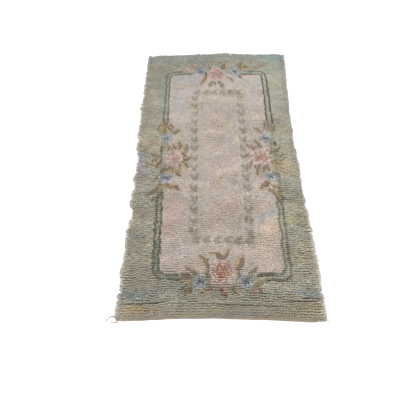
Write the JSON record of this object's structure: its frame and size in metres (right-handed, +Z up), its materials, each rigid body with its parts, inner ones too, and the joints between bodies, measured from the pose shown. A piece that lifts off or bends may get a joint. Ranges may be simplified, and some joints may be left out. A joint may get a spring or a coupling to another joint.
{
  "type": "aubusson rug",
  "caption": "Rectangular long-pile wool rug with a floral field and border, uneven pile sides and loose corner threads, lying flat.",
  "frame": {"origin": "centre of the underside, on the floor", "axes": "+Z up, +Y along the length with the near end at -Y, +X across the width"},
  "size_m": [0.8276, 1.5394, 0.0182],
  "materials": {
    "knotted_wool": "matte knotted wool pile, sage border round a pink cream field",
    "loose_thread": "matte twisted thread"
  },
  "bodies": {
    "root": {"rug": "knotted_wool", "corner_thread_a": "loose_thread", "corner_thread_b": "loose_thread", "corner_thread_c": "loose_thread"}
  },
  "joints": []
}
